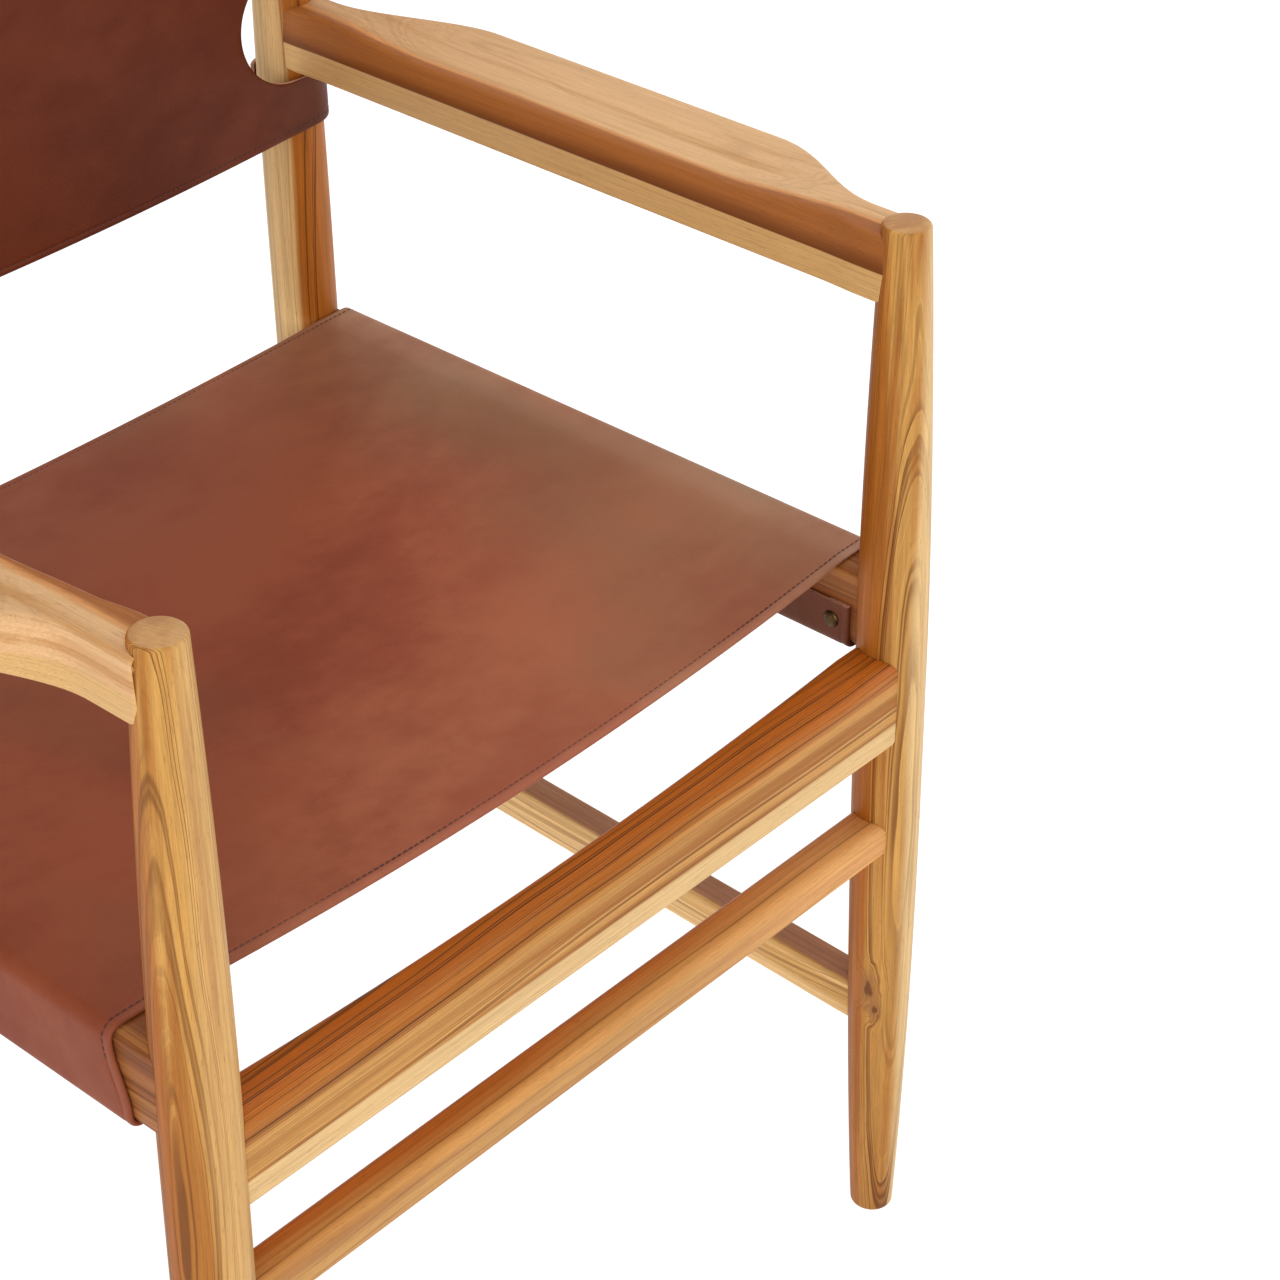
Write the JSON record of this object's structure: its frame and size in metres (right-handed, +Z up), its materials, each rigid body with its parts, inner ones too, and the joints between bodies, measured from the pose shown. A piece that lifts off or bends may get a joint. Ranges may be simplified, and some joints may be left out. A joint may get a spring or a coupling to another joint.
{
  "type": "dining armchair",
  "caption": "Wooden dining armchair with turned legs, thin stretchers, paddle arms and a leather seat and back slung between the side frames.",
  "frame": {"origin": "on the floor, under the middle of the chair's bounding box", "axes": "+Z up, the chair faces -Y, +X is the viewer's right when looking at its front"},
  "size_m": [0.5992, 0.4962, 0.8],
  "materials": {
    "teak": "oiled, satin",
    "seat_leather": "soft, low sheen",
    "back_leather": "soft, low sheen",
    "antique_brass": "darkened, satin"
  },
  "bodies": {
    "root": {"front_rail": "teak", "front_stretcher": "teak", "back_rail": "teak", "back_stretcher": "teak", "front_leg_right": "teak", "back_post_right": "teak", "side_rail_right": "teak", "side_stretcher_right": "teak", "arm_right": "teak", "front_leg_left": "teak", "back_post_left": "teak", "side_rail_left": "teak", "side_stretcher_left": "teak", "arm_left": "teak", "seat_sling": "seat_leather", "back_sling": "back_leather", "seat_stud_right_1": "antique_brass", "seat_stud_right_2": "antique_brass", "seat_stud_right_3": "antique_brass", "seat_stud_right_4": "antique_brass", "seat_stud_right_5": "antique_brass", "seat_stud_left_1": "antique_brass", "seat_stud_left_2": "antique_brass", "seat_stud_left_3": "antique_brass", "seat_stud_left_4": "antique_brass", "seat_stud_left_5": "antique_brass", "back_stud_right_1": "antique_brass", "back_stud_right_2": "antique_brass", "back_stud_right_3": "antique_brass", "back_stud_left_1": "antique_brass", "back_stud_left_2": "antique_brass", "back_stud_left_3": "antique_brass"}
  },
  "joints": []
}
